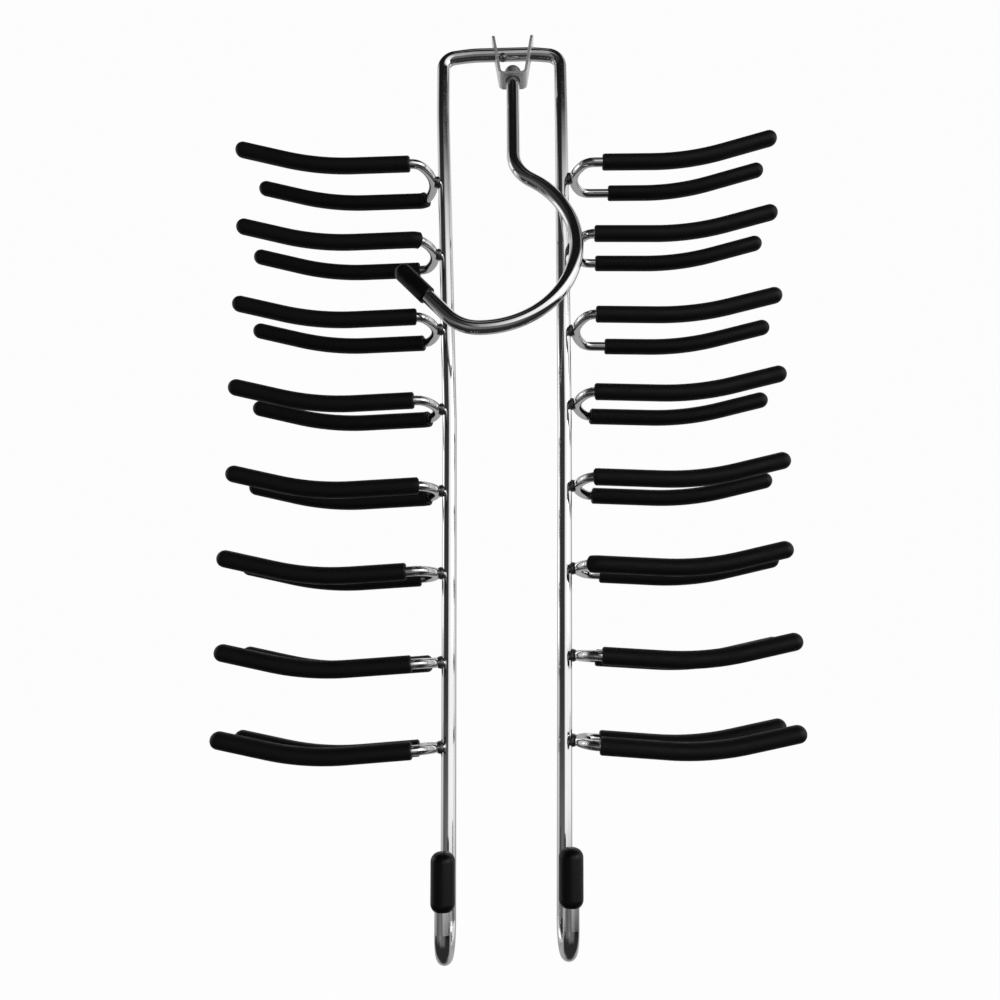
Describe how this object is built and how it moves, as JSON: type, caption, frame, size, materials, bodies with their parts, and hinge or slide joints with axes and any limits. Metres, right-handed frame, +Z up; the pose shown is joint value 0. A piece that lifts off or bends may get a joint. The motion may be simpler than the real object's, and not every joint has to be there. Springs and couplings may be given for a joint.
{
  "type": "tie hanger",
  "caption": "Folding tie hanger: bent wire frame with pairs of non-slip arms on both sides, J-hooks at the foot, and a swivelling rod hook on a bracket round the top bar.",
  "frame": {"origin": "on the top bar's axis, midway between the two legs", "axes": "+X to the viewer's right, +Y away from the viewer, +Z up; the arms' rows are stacked down -Z and the J-hooks turn towards -Y"},
  "size_m": [0.2365, 0.0475, 0.3952],
  "materials": {
    "chrome_wire": "polished chrome plating",
    "bracket_steel": "polished chrome plating",
    "black_vinyl": "matte, soft dipped vinyl"
  },
  "bodies": {
    "frame": {"frame_wire": "chrome_wire", "stop_nub": "chrome_wire", "hairpin_left_1": "chrome_wire", "hairpin_left_2": "chrome_wire", "hairpin_left_3": "chrome_wire", "hairpin_left_4": "chrome_wire", "hairpin_left_5": "chrome_wire", "hairpin_left_6": "chrome_wire", "hairpin_left_7": "chrome_wire", "hairpin_left_8": "chrome_wire", "hairpin_right_1": "chrome_wire", "hairpin_right_2": "chrome_wire", "hairpin_right_3": "chrome_wire", "hairpin_right_4": "chrome_wire", "hairpin_right_5": "chrome_wire", "hairpin_right_6": "chrome_wire", "hairpin_right_7": "chrome_wire", "hairpin_right_8": "chrome_wire", "hairpin_left_weld_beads": "chrome_wire", "hairpin_right_weld_beads": "chrome_wire", "sleeve_left_1_near": "black_vinyl", "sleeve_left_1_far": "black_vinyl", "sleeve_left_2_near": "black_vinyl", "sleeve_left_2_far": "black_vinyl", "sleeve_left_3_near": "black_vinyl", "sleeve_left_3_far": "black_vinyl", "sleeve_left_4_near": "black_vinyl", "sleeve_left_4_far": "black_vinyl", "sleeve_left_5_near": "black_vinyl", "sleeve_left_5_far": "black_vinyl", "sleeve_left_6_near": "black_vinyl", "sleeve_left_6_far": "black_vinyl", "sleeve_left_7_near": "black_vinyl", "sleeve_left_7_far": "black_vinyl", "sleeve_left_8_near": "black_vinyl", "sleeve_left_8_far": "black_vinyl", "sleeve_right_1_near": "black_vinyl", "sleeve_right_1_far": "black_vinyl", "sleeve_right_2_near": "black_vinyl", "sleeve_right_2_far": "black_vinyl", "sleeve_right_3_near": "black_vinyl", "sleeve_right_3_far": "black_vinyl", "sleeve_right_4_near": "black_vinyl", "sleeve_right_4_far": "black_vinyl", "sleeve_right_5_near": "black_vinyl", "sleeve_right_5_far": "black_vinyl", "sleeve_right_6_near": "black_vinyl", "sleeve_right_6_far": "black_vinyl", "sleeve_right_7_near": "black_vinyl", "sleeve_right_7_far": "black_vinyl", "sleeve_right_8_near": "black_vinyl", "sleeve_right_8_far": "black_vinyl", "end_cap_left": "black_vinyl", "end_cap_right": "black_vinyl"},
    "bracket": {"swivel_bracket": "bracket_steel"},
    "hook": {"hook": "chrome_wire", "hook_tip_cap": "black_vinyl"}
  },
  "joints": [
    {"name": "bracket_flip", "type": "hinge", "parent": "frame", "child": "bracket", "pos_m": [0, 0, 0], "axis": [-1, 0, 0], "range_deg": [0, 336]},
    {"name": "hook_swivel", "type": "hinge", "parent": "bracket", "child": "hook", "pos_m": [0.0047, 0, 0], "axis": [0, -0.1736, -0.9848], "range_deg": [-4, 11]}
  ]
}
